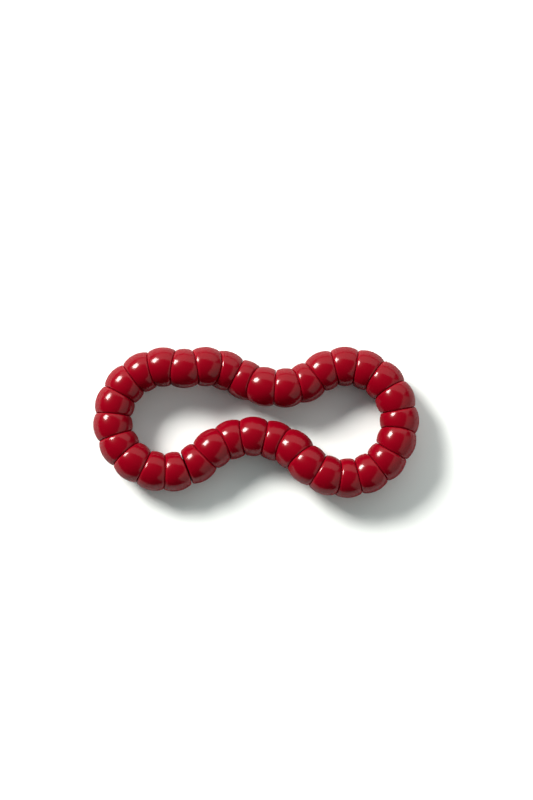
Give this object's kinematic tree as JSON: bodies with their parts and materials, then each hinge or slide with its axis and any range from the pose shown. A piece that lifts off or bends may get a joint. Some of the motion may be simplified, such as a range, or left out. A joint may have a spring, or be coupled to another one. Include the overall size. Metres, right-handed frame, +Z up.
{
  "type": "twist loop puzzle",
  "caption": "Closed loop of equal wedge-shaped barrel segments that twist on one another, bent into a snake with two open lobes.",
  "frame": {"origin": "middle of the loop's bounding box in X and Y, on the surface it lies on", "axes": "+X along the loop's length, +Y across its width, +Z up from the surface"},
  "size_m": [0.1826, 0.085, 0.0278],
  "materials": {
    "red_gloss_plastic": "deep glossy red injection-moulded plastic"
  },
  "bodies": {
    "link_01": {"segment_01": "red_gloss_plastic"},
    "link_02": {"segment_02": "red_gloss_plastic"},
    "link_03": {"segment_03": "red_gloss_plastic"},
    "link_04": {"segment_04": "red_gloss_plastic"},
    "link_05": {"segment_05": "red_gloss_plastic"},
    "link_06": {"segment_06": "red_gloss_plastic"},
    "link_07": {"segment_07": "red_gloss_plastic"},
    "link_08": {"segment_08": "red_gloss_plastic"},
    "link_09": {"segment_09": "red_gloss_plastic"},
    "link_10": {"segment_10": "red_gloss_plastic"},
    "link_11": {"segment_11": "red_gloss_plastic"},
    "link_12": {"segment_12": "red_gloss_plastic"},
    "link_13": {"segment_13": "red_gloss_plastic"},
    "link_14": {"segment_14": "red_gloss_plastic"},
    "link_15": {"segment_15": "red_gloss_plastic"},
    "link_16": {"segment_16": "red_gloss_plastic"},
    "link_17": {"segment_17": "red_gloss_plastic"},
    "link_18": {"segment_18": "red_gloss_plastic"},
    "link_19": {"segment_19": "red_gloss_plastic"},
    "link_20": {"segment_20": "red_gloss_plastic"},
    "link_21": {"segment_21": "red_gloss_plastic"},
    "link_22": {"segment_22": "red_gloss_plastic"},
    "link_23": {"segment_23": "red_gloss_plastic"},
    "link_24": {"segment_24": "red_gloss_plastic"},
    "link_25": {"segment_25": "red_gloss_plastic"},
    "link_26": {"segment_26": "red_gloss_plastic"},
    "link_27": {"segment_27": "red_gloss_plastic"},
    "link_28": {"segment_28": "red_gloss_plastic"},
    "link_29": {"segment_29": "red_gloss_plastic"},
    "link_30": {"segment_30": "red_gloss_plastic"},
    "link_31": {"segment_31": "red_gloss_plastic"},
    "link_32": {"segment_32": "red_gloss_plastic"},
    "link_33": {"segment_33": "red_gloss_plastic"},
    "link_34": {"segment_34": "red_gloss_plastic"}
  },
  "joints": [
    {"name": "pivot_01_02", "type": "hinge", "parent": "link_02", "child": "link_01", "pos_m": [-0.02883, -0.01924, 0.0122], "axis": [0.7005, 0.7076, 0.0926], "range_deg": [-10, 10]},
    {"name": "pivot_02_03", "type": "hinge", "parent": "link_03", "child": "link_02", "pos_m": [-0.01912, -0.01219, 0.01172], "axis": [0.8813, 0.4409, -0.1703], "range_deg": [-50, 15]},
    {"name": "pivot_03_04", "type": "hinge", "parent": "link_04", "child": "link_03", "pos_m": [-0.00771, -0.00852, 0.01141], "axis": [0.9802, 0.1586, 0.1186], "continuous": true},
    {"name": "pivot_04_05", "type": "hinge", "parent": "link_05", "child": "link_04", "pos_m": [0.00428, -0.00886, 0.01174], "axis": [0.9746, -0.2144, -0.0651], "range_deg": [-135, 120]},
    {"name": "pivot_05_06", "type": "hinge", "parent": "link_06", "child": "link_05", "pos_m": [0.01557, -0.01272, 0.01307], "axis": [0.8651, -0.4144, 0.2827], "range_deg": [-35, 160]},
    {"name": "pivot_06_07", "type": "hinge", "parent": "link_07", "child": "link_06", "pos_m": [0.02479, -0.01985, 0.01591], "axis": [0.6385, -0.748, 0.1813], "range_deg": [-50, 115]},
    {"name": "pivot_07_08", "type": "hinge", "parent": "link_08", "child": "link_07", "pos_m": [0.03401, -0.02749, 0.01664], "axis": [0.8645, -0.4986, -0.063], "range_deg": [-3, 55]},
    {"name": "pivot_08_09", "type": "hinge", "parent": "link_09", "child": "link_08", "pos_m": [0.04529, -0.03128, 0.01508], "axis": [0.9744, -0.1185, -0.1908], "range_deg": [-3, 180]},
    {"name": "pivot_09_10", "type": "hinge", "parent": "link_10", "child": "link_09", "pos_m": [0.05723, -0.03058, 0.0141], "axis": [0.9719, 0.2333, 0.0309], "continuous": true},
    {"name": "pivot_10_11", "type": "hinge", "parent": "link_11", "child": "link_10", "pos_m": [0.06806, -0.02541, 0.01432], "axis": [0.7938, 0.6081, 0.0053], "continuous": true},
    {"name": "pivot_11_12", "type": "hinge", "parent": "link_12", "child": "link_11", "pos_m": [0.0759, -0.01635, 0.01498], "axis": [0.4845, 0.8689, 0.1014], "continuous": true},
    {"name": "pivot_12_13", "type": "hinge", "parent": "link_13", "child": "link_12", "pos_m": [0.07985, -0.00502, 0.01479], "axis": [0.1585, 0.9785, -0.1322], "continuous": true},
    {"name": "pivot_13_14", "type": "hinge", "parent": "link_14", "child": "link_13", "pos_m": [0.0796, 0.00697, 0.01447], "axis": [-0.1995, 0.9767, 0.0793], "continuous": true},
    {"name": "pivot_14_15", "type": "hinge", "parent": "link_15", "child": "link_14", "pos_m": [0.07513, 0.0181, 0.01414], "axis": [-0.529, 0.8381, -0.1331], "continuous": true},
    {"name": "pivot_15_16", "type": "hinge", "parent": "link_16", "child": "link_15", "pos_m": [0.06681, 0.02661, 0.01258], "axis": [-0.8274, 0.5487, -0.1198], "continuous": true},
    {"name": "pivot_16_17", "type": "hinge", "parent": "link_17", "child": "link_16", "pos_m": [0.0557, 0.03109, 0.01184], "axis": [-0.9833, 0.1819, -0.0014], "continuous": true},
    {"name": "pivot_17_18", "type": "hinge", "parent": "link_17", "child": "link_18", "pos_m": [0.04371, 0.03077, 0.01188], "axis": [-0.9723, -0.2337, 0.0087], "range_deg": [-110, 110]},
    {"name": "pivot_18_19", "type": "hinge", "parent": "link_18", "child": "link_19", "pos_m": [0.03288, 0.0256, 0.01205], "axis": [-0.7931, -0.6088, 0.0176], "range_deg": [-20, 5]},
    {"name": "pivot_19_20", "type": "hinge", "parent": "link_19", "child": "link_20", "pos_m": [0.02224, 0.02023, 0.01341], "axis": [-0.9414, -0.2682, 0.2045], "range_deg": [-155, 5]},
    {"name": "pivot_20_21", "type": "hinge", "parent": "link_20", "child": "link_21", "pos_m": [0.01035, 0.01902, 0.01448], "axis": [-0.997, 0.071, -0.0294], "continuous": true},
    {"name": "pivot_21_22", "type": "hinge", "parent": "link_21", "child": "link_22", "pos_m": [-0.00118, 0.02153, 0.0123], "axis": [-0.8825, 0.3382, -0.3268], "range_deg": [0, 180]},
    {"name": "pivot_22_23", "type": "hinge", "parent": "link_22", "child": "link_23", "pos_m": [-0.012, 0.02647, 0.01071], "axis": [-0.8812, 0.4677, 0.0684], "continuous": true},
    {"name": "pivot_23_24", "type": "hinge", "parent": "link_23", "child": "link_24", "pos_m": [-0.02306, 0.03036, 0.01329], "axis": [-0.9208, 0.1668, 0.3526], "range_deg": [-180, 0]},
    {"name": "pivot_24_25", "type": "hinge", "parent": "link_24", "child": "link_25", "pos_m": [-0.03467, 0.03025, 0.0163], "axis": [-0.9732, -0.1849, 0.1369], "range_deg": [-180, 5]},
    {"name": "pivot_25_26", "type": "hinge", "parent": "link_25", "child": "link_26", "pos_m": [-0.04667, 0.03008, 0.01652], "axis": [-0.9826, 0.1565, -0.1004], "range_deg": [-3, 180]},
    {"name": "pivot_26_27", "type": "hinge", "parent": "link_26", "child": "link_27", "pos_m": [-0.05852, 0.02953, 0.01468], "axis": [-0.9485, -0.2459, -0.1997], "range_deg": [0, 180]},
    {"name": "pivot_27_28", "type": "hinge", "parent": "link_27", "child": "link_28", "pos_m": [-0.06917, 0.02428, 0.01297], "axis": [-0.7882, -0.6103, -0.0797], "continuous": true},
    {"name": "pivot_28_29", "type": "hinge", "parent": "link_28", "child": "link_29", "pos_m": [-0.07698, 0.01517, 0.01266], "axis": [-0.4857, -0.8736, 0.0302], "continuous": true},
    {"name": "pivot_29_30", "type": "hinge", "parent": "link_29", "child": "link_30", "pos_m": [-0.08051, 0.00371, 0.01293], "axis": [-0.0886, -0.996, 0.0138], "continuous": true},
    {"name": "pivot_30_31", "type": "hinge", "parent": "link_30", "child": "link_31", "pos_m": [-0.07906, -0.00821, 0.01296], "axis": [0.3236, -0.9462, -0.0089], "range_deg": [-180, 4]},
    {"name": "pivot_31_32", "type": "hinge", "parent": "link_31", "child": "link_32", "pos_m": [-0.07297, -0.01853, 0.01343], "axis": [0.6705, -0.737, 0.0849], "range_deg": [-180, 3]},
    {"name": "pivot_32_33", "type": "hinge", "parent": "link_32", "child": "link_33", "pos_m": [-0.06333, -0.02568, 0.0135], "axis": [0.9003, -0.4289, -0.0738], "range_deg": [-5, 5]},
    {"name": "pivot_33_34", "type": "hinge", "parent": "link_33", "child": "link_34", "pos_m": [-0.05171, -0.02847, 0.0124], "axis": [0.9942, -0.025, -0.1042], "range_deg": [-10, 10]}
  ]
}
